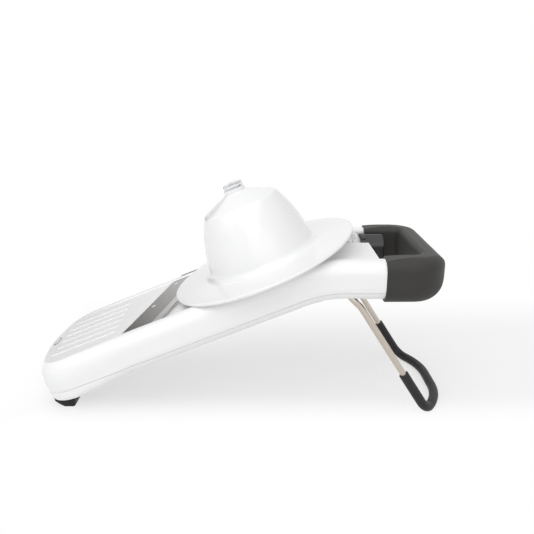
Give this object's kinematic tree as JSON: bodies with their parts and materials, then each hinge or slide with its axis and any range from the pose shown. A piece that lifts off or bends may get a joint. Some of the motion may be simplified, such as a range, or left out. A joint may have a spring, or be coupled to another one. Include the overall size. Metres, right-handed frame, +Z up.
{
  "type": "mandoline slicer",
  "caption": "Hand slicer with a sloping deck, skewed blade, tilting runway set by a dial, loop handle, folding wire stand and a brimmed sprung food holder.",
  "frame": {"origin": "middle of the slicer's outline on the ground it stands on", "axes": "+Z up, +X from the nose along the slicer to the handle, +Y across to the side with the dial"},
  "size_m": [0.4018, 0.188, 0.2178],
  "materials": {
    "white_shell": "white moulded plastic with a light sheen",
    "white_holder": "smooth glossy white plastic",
    "core_plastic": "dark stiff plastic",
    "soft_grip": "fine matte soft rubber",
    "foot_rubber": "matte rubber",
    "black_knob": "satin black plastic",
    "pointer_grey": "light grey satin plastic",
    "carrier_plastic": "dark satin plastic",
    "bearing_plastic": "natural nylon",
    "peg_plastic": "white plastic stakes",
    "blade_steel": "ground stainless steel",
    "bright_steel": "bright steel",
    "screw_steel": "zinc plated steel",
    "wire_steel": "satin nickel plate",
    "clear_plastic": "clear plastic"
  },
  "bodies": {
    "frame": {"main_frame": "white_shell", "base_shell": "white_shell", "base_screws": "screw_steel", "front_foot": "foot_rubber", "handle_core": "core_plastic", "handle_grip": "soft_grip", "handle_screws": "screw_steel", "dial_housing": "white_shell", "dial_pointer": "pointer_grey", "shaft_bush": "bearing_plastic", "runway_axle": "bright_steel", "stand_bearings": "bearing_plastic"},
    "runway": {"runway": "white_shell"},
    "dial": {"thickness_knob": "black_knob", "dial_collar": "white_shell", "adjuster_shaft": "bright_steel", "lift_cam": "bearing_plastic", "knob_screw": "screw_steel"},
    "blade_cassette": {"main_blade": "blade_steel", "blade_carrier": "carrier_plastic", "blade_pegs": "peg_plastic", "blade_grip": "carrier_plastic"},
    "stand": {"stand_wire": "wire_steel", "stand_sleeve": "foot_rubber"},
    "holder": {"holder_hat": "white_holder", "pusher_spring": "bright_steel"},
    "pusher": {"pusher_plate": "white_holder", "pusher_stem": "white_holder", "prongs": "bright_steel", "pusher_cap": "clear_plastic"}
  },
  "joints": [
    {"name": "dial_turn", "type": "hinge", "parent": "frame", "child": "dial", "pos_m": [0.115, 0.0336, 0.1392], "axis": [1, 0, 0], "range_deg": [-80, 200]},
    {"name": "runway_tilt", "type": "hinge", "parent": "frame", "child": "runway", "pos_m": [0.06, 0, 0.14], "axis": [0, -1, 0], "range_deg": [-0.95, 2.32]},
    {"name": "stand_fold", "type": "hinge", "parent": "frame", "child": "stand", "pos_m": [0.097, 0, 0.1235], "axis": [0, 1, 0], "range_deg": [0, 101]},
    {"name": "holder_slide", "type": "slide", "parent": "frame", "child": "holder", "axis": [0.9285, 0, 0.3714], "range_m": [-0.165, 0.015]},
    {"name": "pusher_slide", "type": "slide", "parent": "holder", "child": "pusher", "axis": [-0.3714, 0, 0.9285], "range_m": [0, 0.024], "stiffness_N_per_m": 150, "springref_m": -0.02, "deforming": ["pusher_spring"]},
    {"name": "blade_slide", "type": "slide", "parent": "frame", "child": "blade_cassette", "axis": [0.2869, 0.9511, 0.1148], "range_m": [0, 0.13]}
  ],
  "couplings": [
    {"joint": "runway_tilt", "follows": "dial_turn", "ratio": 0.011459}
  ]
}
